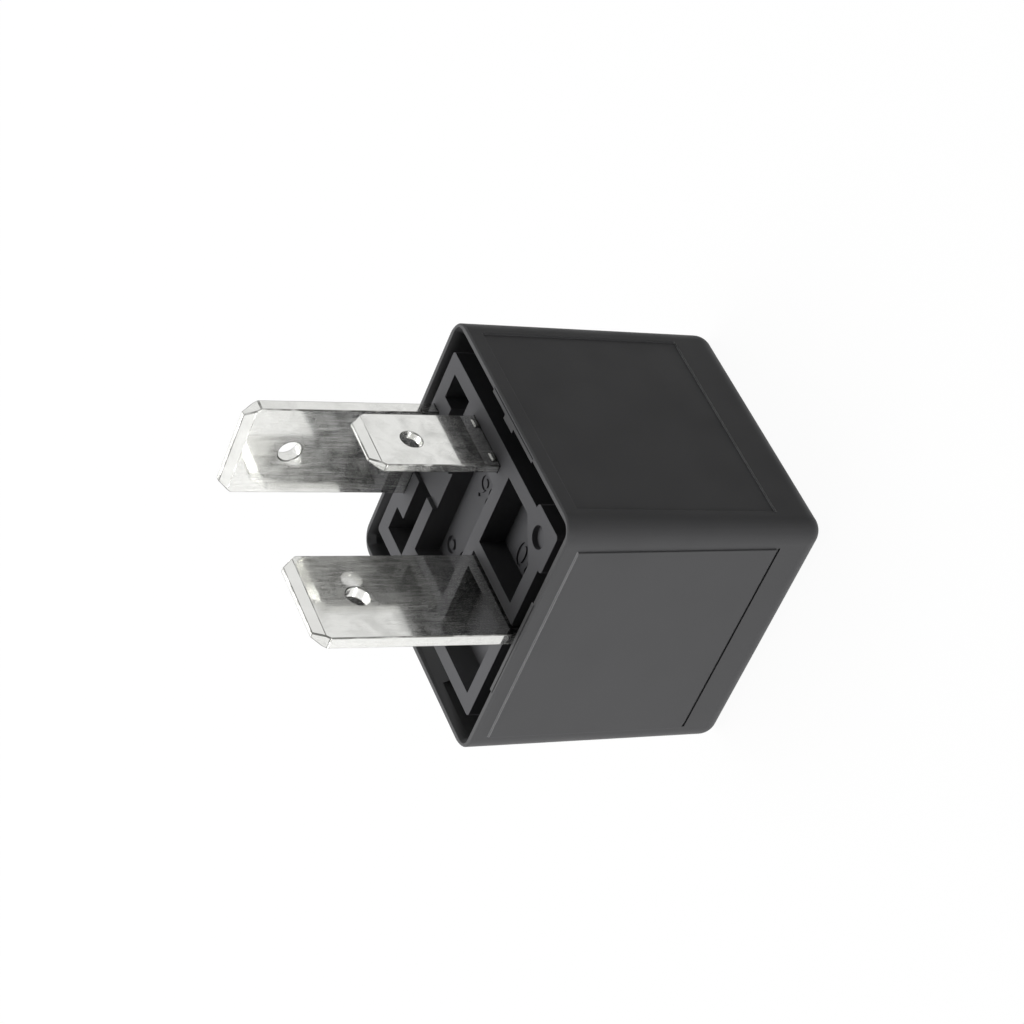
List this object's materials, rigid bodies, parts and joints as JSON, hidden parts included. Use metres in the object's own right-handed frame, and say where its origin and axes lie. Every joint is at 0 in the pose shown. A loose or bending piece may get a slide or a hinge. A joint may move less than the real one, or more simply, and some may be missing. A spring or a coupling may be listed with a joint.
{
  "type": "plug-in power relay",
  "caption": "Plug-in power relay: a square moulded cover closed by a ribbed base, with flat blade terminals standing out of the base and a sprung armature inside.",
  "frame": {"origin": "middle of the cover's closed end, which the relay stands on", "axes": "+Z along the blades, away from the closed end; +X from the load blade to the common blade; +Y towards the coil blade beside the keying block"},
  "size_m": [0.027, 0.0266, 0.0433],
  "materials": {
    "cover_plastic": "satin moulded",
    "base_plastic": "satin moulded",
    "tinned_copper": "bright tin plate on copper alloy",
    "bobbin_plastic": "matt",
    "copper_wire": "enamelled",
    "coil_tape": "smooth film",
    "magnet_iron": "zinc plate",
    "spring_bronze": "rolled",
    "spring_steel": "rolled",
    "contact_silver": "silver alloy"
  },
  "bodies": {
    "case": {"cover": "cover_plastic", "base": "base_plastic", "terminal_30": "tinned_copper", "terminal_87": "tinned_copper", "terminal_85": "tinned_copper", "terminal_86": "tinned_copper", "bobbin": "bobbin_plastic", "coil_winding": "copper_wire", "coil_tape": "coil_tape", "core": "magnet_iron", "yoke": "magnet_iron", "fixed_contact": "contact_silver", "return_spring": "spring_steel", "yoke_rivet_1": "spring_steel", "yoke_rivet_2": "spring_steel", "coil_lead_1": "copper_wire", "coil_lead_2": "copper_wire"},
    "armature": {"armature": "magnet_iron", "contact_spring": "spring_bronze", "moving_contact": "contact_silver", "armature_rivet_1": "spring_steel", "armature_rivet_2": "spring_steel"}
  },
  "joints": [
    {"name": "armature_tilt", "type": "hinge", "parent": "case", "child": "armature", "pos_m": [0.0098, 0, 0.00615], "axis": [0, 1, 0], "range_deg": [0, 3], "stiffness_Nm_per_rad": 0.02}
  ]
}
